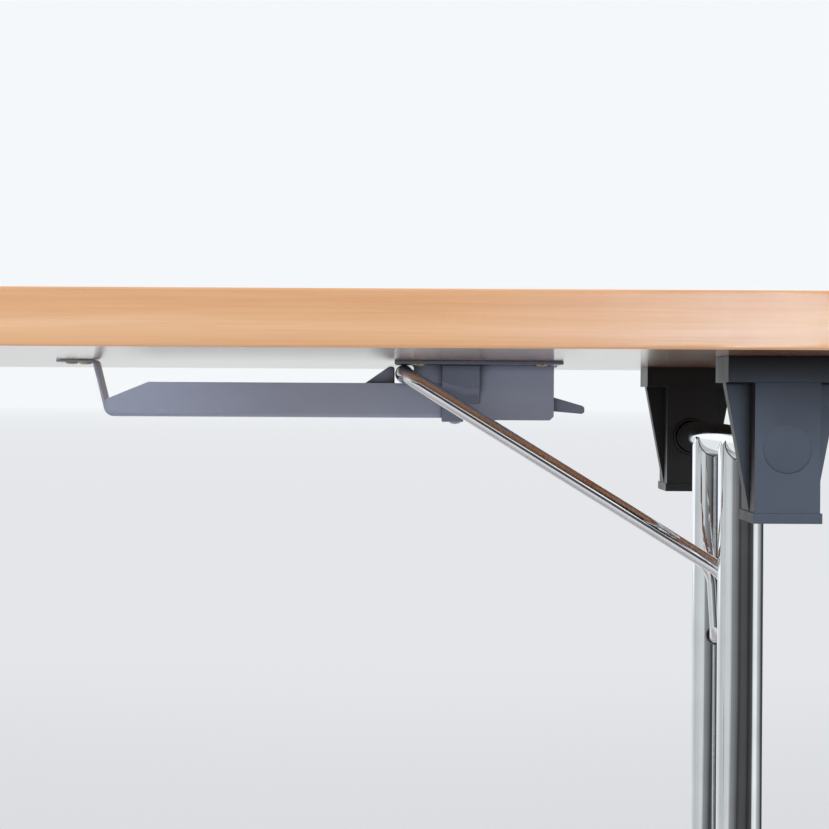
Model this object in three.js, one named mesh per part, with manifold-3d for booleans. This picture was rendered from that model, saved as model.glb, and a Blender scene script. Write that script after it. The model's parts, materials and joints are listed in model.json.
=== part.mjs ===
// Folding-leg training table. Units are millimetres, +Z up, the origin on the floor under the middle.
// Each leg turns inward about an axis along Y. A U-shaped brace rod slides on a rail under the top and
// a sprung latch traps its crossbar when the leg stands upright.
import * as THREE from 'three';
import { mergeVertices } from 'three/addons/utils/BufferGeometryUtils.js';
import Module from 'manifold-3d';

// Table top
const TOP_LENGTH = 1600;
const TOP_WIDTH = 750;
const TOP_THICKNESS = 28;
const TABLE_HEIGHT = 740;
const EDGE_BAND = 2;
const CORNER_RADIUS = 6;
const UNDERSIDE = TABLE_HEIGHT - TOP_THICKNESS;

// Fits
const GAP = 0.3;
const UNDER_TOP_GAP = 0.2;
const OVERCUT = 1;
const ROUND_SIDES = 24;
const SMALL_SIDES = 16;

// Leg frame. In a leg's own frame X is 0 at the pivot, the table's middle is at -X, Z is 0 at the underside
const LEG_X = 680;
const PIVOT_Z = -50;
const FLOOR_Z = -UNDERSIDE;
const CROSS_RADIUS = 11;
const CROSS_WALL = 2;
const COLUMN_RADIUS = 14;
const COLUMN_WALL = 1.5;
const COLUMN_Y = 64;
const COLUMN_TOP_Z = -46.4;
const COLUMN_SHOULDER_Z = -56;
const COLUMN_PLUG_Z = -62;
const COLUMN_TOP_HALF = 10.6;

// T-foot
const FOOT_LENGTH = 640;
const FOOT_WIDTH = 50;
const FOOT_HEIGHT = 25;
const FOOT_WALL = 2;
const FOOT_CAP_LENGTH = 22;
const FOOT_SPIGOT_LENGTH = 25;
const PAD_RADIUS = 12;
const PAD_HEIGHT = 6;
const FOOT_BOTTOM_Z = FLOOR_Z + PAD_HEIGHT;
const FOOT_TOP_Z = FOOT_BOTTOM_Z + FOOT_HEIGHT;

// Bearing brackets
const BRACKET_INNER_Y = 186.5;
const BRACKET_OUTER_Y = 235.5;
const BRACKET_FLANGE_HALF = 32;
const BRACKET_FLANGE_HEIGHT = 14;
const BRACKET_COLUMN_HALF = 17.5;
const BRACKET_BASE_HALF = 18.5;
const BRACKET_BASE_HEIGHT = 5.5;
const BRACKET_HEIGHT = 89.5;
const BRACKET_LIP = 1.2;
const GUSSET_TOP_HALF = 31;
const GUSSET_THICKNESS = 12;
const BORE_DEPTH = 40;
const BUSH_RADIUS = 13;
const BUSH_PROUD = 1.5;

// Brace rod and its crossbar sleeve
const ROD_RADIUS = 5;
const ARM_Y = 38;
const ROD_END_Y = 47;
const CROSSBAR_X = -206;
const CROSSBAR_Z = -8.3;
const ROD_BEND = { x: -3, z: -132.9 };
const BRACE_PIVOT_Z = -178.7;
const ROD_SIDES = 12;
const ROD_FILLETS = { foot: 8, arm: 22, crossbar: 12 };
const SLEEVE_RADIUS = 5.6;
const SLEEVE_BORE = 5.25;
const SLEEVE_HALF_LENGTH = 24;
const BRACE_BUSH_RADIUS = 6.6;
const BRACE_BUSH_BORE = 5.4;
const BRACE_BUSH_FACE_Y = 47.6;
const BRACE_BUSH_BACK_Y = 58;

// Slide rail with its hanger strap
const RAIL_SHEET = 1.5;
const RAIL_HALF_WIDTH = 12.5;
const RAIL_TOP_Z = -14.1;
const RAIL_BOTTOM_Z = -36;
const RAIL_INNER_END = -394.8;
const RAIL_OUTER_END = -114;
const RAIL_SLANT = { x: -367.8, z: -25.2 };
const HANGER_TAB_END = -426;
const HANGER_TOP_X = -401.9;
const HANGER_FOOT_X = -393.3;
const HANGER_BENDS = { top: 3, foot: 5, steps: 5 };
const RAIL_CORNER = 4;

// Mount plate, latch housing and stirrup
const PLATE = { x0: -211.8, x1: -107, halfWidth: 40, thickness: 2 };
const PLATE_BOTTOM_Z = -UNDER_TOP_GAP - PLATE.thickness;
const HOUSING = { x0: -200, lowerX0: -180, x1: -111.4, topZ: -2.5, bottomZ: -37.2, chamfer: 2.5 };
const HOUSING_INNER = 12.8;
const HOUSING_SHEET = 1;
const HOUSING_SHELF_Z = -13.5;
const STIRRUP = { x0: -182, x1: -158.4, legX: -168.6, topZ: -2.6, kneeZ: -26.7, bottomZ: -38.4 };
const STIRRUP_INNER = 14.1;
const STIRRUP_SHEET = 1;
const POCKET_DEPTH = 4.5;
const POCKET_FACE_Z = -17.8;
const POCKET_SLANT_Z = -13;
const POCKET_UNDERCUT = 3.5;
const POCKET_ROOT = 0.5;
const RIVET = { x: -173.6, hole: 2.1, headRadius: 3.5, headZ: -40, seatZ: -38.7 };
const RIVET_TAIL = { radius: 2.9, seatZ: -34.2, topZ: -33.4 };

// Latch
const LATCH_PIN = { x: -150, z: -26, radius: 2, hole: 2.4, halfLength: 12.4 };
const LEVER_HALF_WIDTH = 8;
const LEVER_TOP_Z = -15;
const LEVER_UNDER = [[-165, -29.5], [-150, -31.5], [-111.4, -31.5], [-93.2, -33], [-91.6, -32]];
const LEVER_OVER = [[-91.6, -29], [-93, -27.8], [-111.4, -22.5], [-165, -19.5]];
const LEVER_NOSE_Z = -19.3;
const LEVER_SHELF_X = -205;
const HOOK = { x0: -231.6, crestX: -215.5, x1: -212.2, topZ: -3.5, nick: 1 };
const SPRING = { x: -128, topZ: -3.2, bottomZ: -21, coilRadius: 3.2, wireRadius: 0.5, turns: 6 };
const SPRING_STEPS = 8;
const SPRING_SIDES = 5;

// Wood screws
const SCREW = { headRadius: 3.8, headHeight: 1.5, shankRadius: 1.6, depth: 15 };
const SCREW_HOLE_RADIUS = 2.2;
const PILOT_RADIUS = 2;
const HANGER_SCREWS = [{ x: -417, y: -6 }, { x: -410, y: 6 }];
const PLATE_SCREWS = [{ x: -197, y: -33 }, { x: -120.5, y: -33 }];

const wasm = await Module();
wasm.setup();

function solidOf(geometry) {
  const bare = geometry.index ? geometry.toNonIndexed() : geometry.clone();
  bare.deleteAttribute('normal');
  bare.deleteAttribute('uv');
  const merged = mergeVertices(bare, 1e-4);
  return new wasm.Manifold(new wasm.Mesh({
    numProp: 3,
    vertProperties: new Float32Array(merged.attributes.position.array),
    triVerts: new Uint32Array(merged.index.array),
  }));
}

function geometryOf(solid) {
  const mesh = solid.getMesh();
  const geometry = new THREE.BufferGeometry();
  geometry.setAttribute('position', new THREE.BufferAttribute(new Float32Array(mesh.vertProperties), 3));
  geometry.setIndex(new THREE.BufferAttribute(new Uint32Array(mesh.triVerts), 1));
  return geometry;
}

const join = (...parts) => geometryOf(parts.map(solidOf).reduce((a, b) => a.add(b)));
const cut = (body, ...tools) =>
  geometryOf(tools.map(solidOf).reduce((a, b) => a.subtract(b), solidOf(body)));
const common = (a, b) => geometryOf(solidOf(a).intersect(solidOf(b)));

function box(x0, x1, y0, y1, z0, z1) {
  const geometry = new THREE.BoxGeometry(x1 - x0, y1 - y0, z1 - z0);
  return geometry.translate((x0 + x1) / 2, (y0 + y1) / 2, (z0 + z1) / 2);
}

// An outline in X and Z, given as [x, z] points, carried from y0 to y1
function slabXZ(points, y0, y1) {
  const shape = new THREE.Shape(points.map(([x, z]) => new THREE.Vector2(x, z)));
  const geometry = new THREE.ExtrudeGeometry(shape, { depth: y1 - y0, bevelEnabled: false });
  return geometry.rotateX(Math.PI / 2).translate(0, y1, 0);
}

function barY(x, z, radius, y0, y1, sides = ROUND_SIDES) {
  return new THREE.CylinderGeometry(radius, radius, y1 - y0, sides).translate(x, (y0 + y1) / 2, z);
}

function barZ(x, y, radius, z0, z1, sides = ROUND_SIDES) {
  const geometry = new THREE.CylinderGeometry(radius, radius, z1 - z0, sides).rotateX(Math.PI / 2);
  return geometry.translate(x, y, (z0 + z1) / 2);
}

// A turned piece about a vertical axis at x, y, from a profile of [radius, z] points
function turned(profile, x, y, sides = SMALL_SIDES) {
  const points = profile.map(([radius, z]) => new THREE.Vector2(radius, z));
  return new THREE.LatheGeometry(points, sides).rotateX(Math.PI / 2).translate(x, y, 0);
}

// A path with its corners rounded: each corner is a point with a radius, in three dimensions
function roundedPath(corners, stepsPerBend) {
  const path = [corners[0].point];
  for (let i = 1; i < corners.length - 1; i++) {
    const { point, radius } = corners[i];
    const back = corners[i - 1].point.clone().sub(point).normalize();
    const ahead = corners[i + 1].point.clone().sub(point).normalize();
    const half = back.angleTo(ahead) / 2;
    const middle = back.clone().add(ahead).normalize();
    const centre = point.clone().addScaledVector(middle, radius / Math.sin(half));
    const from = point.clone().addScaledVector(back, radius / Math.tan(half)).sub(centre);
    const turnAxis = back.clone().cross(ahead).normalize();
    const sweep = -(Math.PI - 2 * half);
    for (let s = 0; s <= stepsPerBend; s++) {
      path.push(from.clone().applyAxisAngle(turnAxis, (sweep * s) / stepsPerBend).add(centre));
    }
  }
  path.push(corners[corners.length - 1].point);
  return path;
}

// A round bar swept along a list of points, closed at both ends
function sweptBar(path, radius, sides) {
  const last = path.length - 1;
  const tangents = path.map((p, i) =>
    path[Math.min(i + 1, last)].clone().sub(path[Math.max(i - 1, 0)]).normalize());
  const seed = Math.abs(tangents[0].z) < 0.9 ? new THREE.Vector3(0, 0, 1) : new THREE.Vector3(1, 0, 0);
  let normal = seed.clone().cross(tangents[0]).normalize();
  const positions = [];
  const index = [];
  path.forEach((point, i) => {
    if (i > 0) {
      const turn = new THREE.Quaternion().setFromUnitVectors(tangents[i - 1], tangents[i]);
      normal = normal.clone().applyQuaternion(turn);
    }
    const across = tangents[i].clone().cross(normal);
    for (let s = 0; s < sides; s++) {
      const angle = (2 * Math.PI * s) / sides;
      const spoke = normal.clone().multiplyScalar(Math.cos(angle)).addScaledVector(across, Math.sin(angle));
      positions.push(...point.clone().addScaledVector(spoke, radius).toArray());
    }
  });
  for (let i = 0; i < last; i++) {
    for (let s = 0; s < sides; s++) {
      const a = i * sides + s;
      const b = i * sides + ((s + 1) % sides);
      index.push(a, b, a + sides, b, b + sides, a + sides);
    }
  }
  const end = last * sides;
  for (let s = 1; s < sides - 1; s++) {
    index.push(0, s + 1, s);
    index.push(end, end + s, end + s + 1);
  }
  const geometry = new THREE.BufferGeometry();
  geometry.setAttribute('position', new THREE.Float32BufferAttribute(positions, 3));
  geometry.setIndex(index);
  return geometry;
}

// The outline of a bent sheet: a path in X and Z with its thickness on the right-hand side
function sheetOutline(corners, thickness, stepsPerBend) {
  const path = roundedPath(
    corners.map(({ x, z, radius }) => ({ point: new THREE.Vector3(x, 0, z), radius })), stepsPerBend);
  const last = path.length - 1;
  const offset = path.map((p, i) => {
    const along = path[Math.min(i + 1, last)].clone().sub(path[Math.max(i - 1, 0)]).normalize();
    return [p.x + along.z * thickness, p.z - along.x * thickness];
  });
  return [...path.map((p) => [p.x, p.z]), ...offset.reverse()];
}

// A solid between two outlines in X and Z that have as many points as each other
function loftXZ(outlineA, yA, outlineB, yB) {
  const count = outlineA.length;
  const positions = [];
  for (const [outline, y] of [[outlineA, yA], [outlineB, yB]]) {
    for (const [x, z] of outline) positions.push(x, y, z);
  }
  const index = [];
  for (let i = 0; i < count; i++) {
    const j = (i + 1) % count;
    index.push(i, j, i + count, j, j + count, i + count);
  }
  const faces = THREE.ShapeUtils.triangulateShape(outlineA.map(([x, z]) => new THREE.Vector2(x, z)), []);
  for (const [a, b, c] of faces) {
    index.push(a, c, b);
    index.push(a + count, b + count, c + count);
  }
  const geometry = new THREE.BufferGeometry();
  geometry.setAttribute('position', new THREE.Float32BufferAttribute(positions, 3));
  geometry.setIndex(index);
  return orientedOut(geometry);
}

// Turns every face over where a closed mesh was wound inside out
function orientedOut(geometry) {
  const p = geometry.attributes.position;
  const corner = (i) => new THREE.Vector3().fromBufferAttribute(p, geometry.index.getX(i));
  let volume = 0;
  for (let i = 0; i < geometry.index.count; i += 3) {
    volume += corner(i).dot(corner(i + 1).cross(corner(i + 2)));
  }
  if (volume < 0) geometry.setIndex(Array.from(geometry.index.array).reverse());
  return geometry;
}

function roundedRectangle(halfX, halfY, radius) {
  const shape = new THREE.Shape();
  shape.absarc(halfX - radius, halfY - radius, radius, 0, Math.PI / 2);
  shape.absarc(radius - halfX, halfY - radius, radius, Math.PI / 2, Math.PI);
  shape.absarc(radius - halfX, radius - halfY, radius, Math.PI, 1.5 * Math.PI);
  shape.absarc(halfX - radius, radius - halfY, radius, 1.5 * Math.PI, 2 * Math.PI);
  return shape;
}

function plankZ(shape, z0, z1) {
  const options = { depth: z1 - z0, bevelEnabled: false, curveSegments: 6 };
  return new THREE.ExtrudeGeometry(shape, options).translate(0, 0, z0);
}

const material = (color, roughness, metalness) =>
  new THREE.MeshStandardMaterial({ color, roughness, metalness });
const BEECH = material(0xe4b487, 0.45, 0);
const CHROME = material(0xd8dade, 0.08, 1);
const BLACK_PLASTIC = material(0x17181b, 0.5, 0);
const GREY_PAINT = material(0x85868e, 0.4, 0.3);
const DARK_STEEL = material(0x6c6d73, 0.4, 0.6);
const SPRING_STEEL = material(0x9a9ba0, 0.3, 0.9);
const YELLOW_ZINC = material(0xc9a95a, 0.35, 0.9);

function piece(name, geometry, finish) {
  const mesh = new THREE.Mesh(geometry, finish);
  mesh.name = name;
  return mesh;
}

// Table top: the board with pilot holes for the screws, and the band round its edge
function tableTop(pilotHoles) {
  const halfX = TOP_LENGTH / 2;
  const halfY = TOP_WIDTH / 2;
  const boardShape = () =>
    roundedRectangle(halfX - EDGE_BAND, halfY - EDGE_BAND, CORNER_RADIUS - EDGE_BAND);
  const bandShape = roundedRectangle(halfX, halfY, CORNER_RADIUS);
  bandShape.holes.push(boardShape());
  const board = cut(plankZ(boardShape(), UNDERSIDE, TABLE_HEIGHT), ...pilotHoles);
  return [
    piece('tabletop_board', board, BEECH),
    piece('tabletop_edge_band', plankZ(bandShape, UNDERSIDE, TABLE_HEIGHT), BEECH),
  ];
}

function bracket(side) {
  const y0 = Math.min(side * BRACKET_INNER_Y, side * BRACKET_OUTER_Y);
  const y1 = y0 + BRACKET_OUTER_Y - BRACKET_INNER_Y;
  const middleY = (y0 + y1) / 2;
  const lipY0 = y0 - BRACKET_LIP;
  const lipY1 = y1 + BRACKET_LIP;
  const flangeZ = -UNDER_TOP_GAP - BRACKET_FLANGE_HEIGHT;
  const baseZ = BRACKET_BASE_HEIGHT - BRACKET_HEIGHT;
  const half = GUSSET_THICKNESS / 2;
  const gussets = slabXZ([
    [-GUSSET_TOP_HALF, flangeZ + OVERCUT], [GUSSET_TOP_HALF, flangeZ + OVERCUT],
    [BRACKET_COLUMN_HALF, baseZ - OVERCUT], [-BRACKET_COLUMN_HALF, baseZ - OVERCUT],
  ].reverse(), middleY - half, middleY + half);
  const body = join(
    box(-BRACKET_FLANGE_HALF, BRACKET_FLANGE_HALF, lipY0, lipY1, flangeZ, -UNDER_TOP_GAP),
    box(-BRACKET_COLUMN_HALF, BRACKET_COLUMN_HALF, y0, y1, baseZ - OVERCUT, flangeZ + OVERCUT),
    box(-BRACKET_BASE_HALF, BRACKET_BASE_HALF, lipY0, lipY1, -BRACKET_HEIGHT, baseZ),
    gussets,
  );
  const mouth = side * (BRACKET_INNER_Y - BRACKET_LIP - OVERCUT);
  const bottom = side * (BRACKET_INNER_Y + BORE_DEPTH);
  return cut(body, barY(0, PIVOT_Z, BUSH_RADIUS + GAP, Math.min(mouth, bottom), Math.max(mouth, bottom)));
}

function bearingBush(side) {
  const inner = side * (BRACKET_INNER_Y - BUSH_PROUD);
  const outer = side * (BRACKET_INNER_Y + BORE_DEPTH - 1);
  const y0 = Math.min(inner, outer);
  const y1 = Math.max(inner, outer);
  return cut(barY(0, PIVOT_Z, BUSH_RADIUS, y0, y1),
    barY(0, PIVOT_Z, CROSS_RADIUS + GAP, y0 - OVERCUT, y1 + OVERCUT));
}

function crossTube() {
  const half = BRACKET_INNER_Y + BORE_DEPTH - 2;
  return cut(barY(0, PIVOT_Z, CROSS_RADIUS, -half, half),
    barY(0, PIVOT_Z, CROSS_RADIUS - CROSS_WALL, -half - OVERCUT, half + OVERCUT));
}

// A column saddles the cross tube from below, with its upper corners dressed off
function column(side) {
  const y = side * COLUMN_Y;
  const foot = FOOT_TOP_Z + GAP;
  const wide = COLUMN_RADIUS + OVERCUT;
  const dressing = slabXZ([
    [-wide, foot - OVERCUT], [wide, foot - OVERCUT], [wide, COLUMN_SHOULDER_Z],
    [COLUMN_TOP_HALF, COLUMN_TOP_Z], [-COLUMN_TOP_HALF, COLUMN_TOP_Z], [-wide, COLUMN_SHOULDER_Z],
  ], y - wide, y + wide);
  const bar = common(barZ(0, y, COLUMN_RADIUS, foot, COLUMN_TOP_Z + OVERCUT), dressing);
  const pinHole = barY(0, BRACE_PIVOT_Z, BRACE_BUSH_RADIUS + GAP,
    Math.min(0, y), Math.max(0, y), SMALL_SIDES);
  return cut(bar,
    barZ(0, y, COLUMN_RADIUS - COLUMN_WALL, foot - OVERCUT, COLUMN_PLUG_Z),
    barY(0, PIVOT_Z, CROSS_RADIUS + GAP, y - wide, y + wide),
    pinHole);
}

function stadiumXZ(width, height, middleZ) {
  const radius = height / 2;
  const shape = new THREE.Shape();
  shape.absarc(width / 2 - radius, middleZ, radius, -Math.PI / 2, Math.PI / 2);
  shape.absarc(radius - width / 2, middleZ, radius, Math.PI / 2, 1.5 * Math.PI);
  return shape;
}

function stadiumBar(inset, y0, y1) {
  const middleZ = (FOOT_BOTTOM_Z + FOOT_TOP_Z) / 2;
  const shape = stadiumXZ(FOOT_WIDTH - 2 * inset, FOOT_HEIGHT - 2 * inset, middleZ);
  const options = { depth: y1 - y0, bevelEnabled: false, curveSegments: 8 };
  return new THREE.ExtrudeGeometry(shape, options).rotateX(Math.PI / 2).translate(0, y1, 0);
}

function footTube() {
  const half = FOOT_LENGTH / 2;
  return cut(stadiumBar(0, -half, half), stadiumBar(FOOT_WALL, -half - OVERCUT, half + OVERCUT));
}

function footCap(side) {
  const span = (from, to) => [Math.min(side * from, side * to), Math.max(side * from, side * to)];
  const half = FOOT_LENGTH / 2;
  const [a0, a1] = span(half + GAP, half + FOOT_CAP_LENGTH);
  const [b0, b1] = span(half - FOOT_SPIGOT_LENGTH, half + 2);
  return join(stadiumBar(0, a0, a1), stadiumBar(FOOT_WALL + GAP, b0, b1));
}

function footPad(side) {
  const y = side * (FOOT_LENGTH / 2 + FOOT_CAP_LENGTH / 2 - 1);
  return turned([
    [0, FLOOR_Z], [PAD_RADIUS - 1.5, FLOOR_Z], [PAD_RADIUS, FLOOR_Z + 1.5],
    [PAD_RADIUS, FOOT_BOTTOM_Z - GAP], [0, FOOT_BOTTOM_Z - GAP],
  ], 0, y, ROUND_SIDES);
}

function braceRod() {
  const corner = (x, y, z, radius) => ({ point: new THREE.Vector3(x, y, z), radius });
  const arm = (s) => [
    corner(0, s * ROD_END_Y, BRACE_PIVOT_Z),
    corner(0, s * ARM_Y, BRACE_PIVOT_Z, ROD_FILLETS.foot),
    corner(ROD_BEND.x, s * ARM_Y, ROD_BEND.z, ROD_FILLETS.arm),
    corner(CROSSBAR_X, s * ARM_Y, CROSSBAR_Z, ROD_FILLETS.crossbar),
  ];
  const path = roundedPath([...arm(-1), ...arm(1).reverse()], 6);
  return orientedOut(sweptBar(path, ROD_RADIUS, ROD_SIDES));
}

function braceBush(side) {
  const face = side * BRACE_BUSH_FACE_Y;
  const back = side * BRACE_BUSH_BACK_Y;
  const y0 = Math.min(face, back);
  const y1 = Math.max(face, back);
  return cut(barY(0, BRACE_PIVOT_Z, BRACE_BUSH_RADIUS, y0, y1, SMALL_SIDES),
    barY(0, BRACE_PIVOT_Z, BRACE_BUSH_BORE, y0 - OVERCUT, y1 + OVERCUT, SMALL_SIDES));
}

function slideSleeve() {
  const half = SLEEVE_HALF_LENGTH;
  return cut(barY(CROSSBAR_X, CROSSBAR_Z, SLEEVE_RADIUS, -half, half),
    barY(CROSSBAR_X, CROSSBAR_Z, SLEEVE_BORE, -half - OVERCUT, half + OVERCUT));
}

// Rail: a channel open at the top, whose floor runs up as a strap to a tab under the top
function rail() {
  const floorTop = RAIL_BOTTOM_Z + RAIL_SHEET;
  const strapOutline = sheetOutline([
    { x: HANGER_TAB_END, z: -UNDER_TOP_GAP },
    { x: HANGER_TOP_X, z: -UNDER_TOP_GAP, radius: HANGER_BENDS.top },
    { x: HANGER_FOOT_X, z: floorTop, radius: HANGER_BENDS.foot },
    { x: RAIL_OUTER_END, z: floorTop },
  ], RAIL_SHEET, HANGER_BENDS.steps);
  const wallOutline = [
    [RAIL_INNER_END + RAIL_CORNER, RAIL_BOTTOM_Z],
    [RAIL_OUTER_END, RAIL_BOTTOM_Z], [RAIL_OUTER_END, RAIL_TOP_Z],
    [RAIL_SLANT.x, RAIL_TOP_Z], [RAIL_INNER_END, RAIL_SLANT.z], [RAIL_INNER_END, RAIL_BOTTOM_Z + RAIL_CORNER],
  ];
  const inner = RAIL_HALF_WIDTH - RAIL_SHEET;
  const body = join(
    slabXZ(strapOutline, -RAIL_HALF_WIDTH, RAIL_HALF_WIDTH),
    slabXZ(wallOutline, -RAIL_HALF_WIDTH, -inner),
    slabXZ(wallOutline, inner, RAIL_HALF_WIDTH),
  );
  return cut(body, ...HANGER_SCREWS.map(screwHole), rivetHole(), latchPinHole());
}

const rivetHole = () =>
  barZ(RIVET.x, 0, RIVET.hole, RIVET.headZ - OVERCUT, RIVET_TAIL.topZ + OVERCUT, SMALL_SIDES);
const latchPinHole = () =>
  barY(LATCH_PIN.x, LATCH_PIN.z, LATCH_PIN.hole, -STIRRUP_INNER, STIRRUP_INNER, SMALL_SIDES);
const screwHole = ({ x, y }) =>
  barZ(x, y, SCREW_HOLE_RADIUS, PLATE_BOTTOM_Z - OVERCUT, OVERCUT, SMALL_SIDES);

function mountPlate() {
  const plate = box(PLATE.x0, PLATE.x1, -PLATE.halfWidth, PLATE.halfWidth, PLATE_BOTTOM_Z, -UNDER_TOP_GAP);
  return cut(plate, ...PLATE_SCREWS.map(screwHole));
}

function latchHousing() {
  const { x0, lowerX0, x1, topZ, bottomZ, chamfer } = HOUSING;
  const outer = HOUSING_INNER + HOUSING_SHEET;
  const profile = [
    [lowerX0, bottomZ], [x1 - chamfer, bottomZ], [x1, bottomZ + chamfer], [x1, topZ], [x0, topZ],
    [x0, HOUSING_SHELF_Z], [lowerX0, HOUSING_SHELF_Z],
  ];
  const body = slabXZ(profile, -outer, outer);
  const hollow = box(x0 - OVERCUT, x1 + OVERCUT, -HOUSING_INNER, HOUSING_INNER,
    bottomZ + HOUSING_SHEET, topZ + OVERCUT);
  return cut(body, hollow, rivetHole());
}

// Stirrup: a strap round the housing from below, with a raised pocket on each cheek
function stirrup() {
  const { x0, x1, legX, topZ, kneeZ, bottomZ } = STIRRUP;
  const outer = STIRRUP_INNER + STIRRUP_SHEET;
  const cheek = [[x0, bottomZ], [legX, bottomZ], [legX, kneeZ], [x1, kneeZ], [x1, topZ], [x0, topZ]];
  const body = cut(slabXZ(cheek, -outer, outer),
    box(x0 - OVERCUT, x1 + OVERCUT, -STIRRUP_INNER, STIRRUP_INNER, bottomZ + STIRRUP_SHEET, topZ + OVERCUT),
    rivetHole());
  const outline = (drop) => [
    [x0, POCKET_SLANT_Z - drop], [legX, POCKET_FACE_Z - drop], [x1, POCKET_FACE_Z - drop],
    [x1, topZ], [x0, topZ],
  ];
  const pocket = (s) => loftXZ(outline(POCKET_UNDERCUT), s * (outer - POCKET_ROOT),
    outline(0), s * (outer + POCKET_DEPTH));
  return join(body, pocket(-1), pocket(1));
}

function stirrupRivet() {
  const { x, hole, headRadius, headZ, seatZ } = RIVET;
  const shank = hole - GAP;
  const crown = (headZ + seatZ) / 2;
  return turned([
    [0, headZ], [headRadius * 0.7, headZ], [headRadius, crown], [headRadius, seatZ], [shank, seatZ],
    [shank, RIVET_TAIL.seatZ], [RIVET_TAIL.radius, RIVET_TAIL.seatZ],
    [RIVET_TAIL.radius, RIVET_TAIL.topZ], [0, RIVET_TAIL.topZ],
  ], x, 0);
}

// Latch lever: a rocker on the pin, with the hook at its inner end and the finger tail at the other
function latchLever() {
  const outline = [
    [HOOK.x0, LEVER_TOP_Z], [HOOK.x0, LEVER_NOSE_Z],
    ...LEVER_UNDER, ...LEVER_OVER, [LEVER_SHELF_X, LEVER_TOP_Z],
  ];
  return cut(slabXZ(outline, -LEVER_HALF_WIDTH, LEVER_HALF_WIDTH), latchPinHole());
}

function latchPin() {
  const { x, z, radius, halfLength } = LATCH_PIN;
  return barY(x, z, radius, -halfLength, halfLength, SMALL_SIDES);
}

function latchHook() {
  const base = LEVER_TOP_Z + GAP;
  return slabXZ([
    [HOOK.x0, base], [HOOK.x1, base], [HOOK.x1, HOOK.topZ - HOOK.nick],
    [HOOK.x1 - HOOK.nick, HOOK.topZ], [HOOK.crestX, HOOK.topZ],
  ], -LEVER_HALF_WIDTH, LEVER_HALF_WIDTH);
}

function latchSpring() {
  const { x, topZ, bottomZ, coilRadius, wireRadius, turns } = SPRING;
  const steps = turns * SPRING_STEPS;
  const path = [];
  for (let i = 0; i <= steps; i++) {
    const angle = (2 * Math.PI * i) / SPRING_STEPS;
    const z = bottomZ + ((topZ - bottomZ) * i) / steps;
    path.push(new THREE.Vector3(x + coilRadius * Math.cos(angle), coilRadius * Math.sin(angle), z));
  }
  return orientedOut(sweptBar(path, wireRadius, SPRING_SIDES));
}

function woodScrew({ x, y }, seatZ) {
  const { headRadius, headHeight, shankRadius, depth } = SCREW;
  const under = seatZ - 0.1;
  return turned([
    [0, under - headHeight], [headRadius * 0.6, under - headHeight], [headRadius, under - headHeight * 0.45],
    [headRadius, under], [shankRadius, under], [shankRadius, depth - 3], [0, depth],
  ], x, y);
}

// Everything at one end of the table, in the leg's own frame
function tableEnd(end, turn) {
  const group = new THREE.Group();
  const place = (s) => (s * turn < 0 ? 'front' : 'rear');
  const add = (name, geometry, finish) => group.add(piece(`${end}_${name}`, geometry, finish));
  for (const s of [-1, 1]) {
    add(`bracket_${place(s)}`, bracket(s), BLACK_PLASTIC);
    add(`bearing_bush_${place(s)}`, bearingBush(s), BLACK_PLASTIC);
    add(`column_${place(s)}`, column(s), CHROME);
    add(`foot_cap_${place(s)}`, footCap(s), BLACK_PLASTIC);
    add(`foot_pad_${place(s)}`, footPad(s), BLACK_PLASTIC);
    add(`brace_bush_${place(s)}`, braceBush(s), DARK_STEEL);
  }
  add('cross_tube', crossTube(), CHROME);
  add('foot_tube', footTube(), CHROME);
  add('brace_rod', braceRod(), CHROME);
  add('slide_sleeve', slideSleeve(), BLACK_PLASTIC);
  add('slide_rail', rail(), GREY_PAINT);
  add('mount_plate', mountPlate(), GREY_PAINT);
  add('latch_housing', latchHousing(), GREY_PAINT);
  add('stirrup', stirrup(), GREY_PAINT);
  add('stirrup_rivet', stirrupRivet(), DARK_STEEL);
  add('latch_lever', latchLever(), GREY_PAINT);
  add('latch_hook', latchHook(), GREY_PAINT);
  add('latch_pin', latchPin(), DARK_STEEL);
  add('latch_spring', latchSpring(), SPRING_STEEL);
  const tabBottom = -UNDER_TOP_GAP - RAIL_SHEET;
  HANGER_SCREWS.forEach((at, i) => add(`hanger_screw_${i + 1}`, woodScrew(at, tabBottom), YELLOW_ZINC));
  PLATE_SCREWS.forEach((at, i) => add(`plate_screw_${i + 1}`, woodScrew(at, PLATE_BOTTOM_Z), YELLOW_ZINC));
  group.position.set(turn * LEG_X, 0, UNDERSIDE);
  if (turn < 0) group.rotation.z = Math.PI;
  return group;
}

const pilotHoles = [];
for (const turn of [1, -1]) {
  for (const { x, y } of [...HANGER_SCREWS, ...PLATE_SCREWS]) {
    pilotHoles.push(barZ(turn * (LEG_X + x), turn * y, PILOT_RADIUS,
      UNDERSIDE - OVERCUT, UNDERSIDE + SCREW.depth + OVERCUT, SMALL_SIDES));
  }
}

const table = new THREE.Group();
table.add(...tableTop(pilotHoles), tableEnd('right', 1), tableEnd('left', -1));

export default table;
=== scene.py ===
# Looks for a folding-leg training table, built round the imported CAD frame. Lengths are metres.
import json
import math

import bmesh
import bpy
from mathutils import Matrix, Vector

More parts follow.
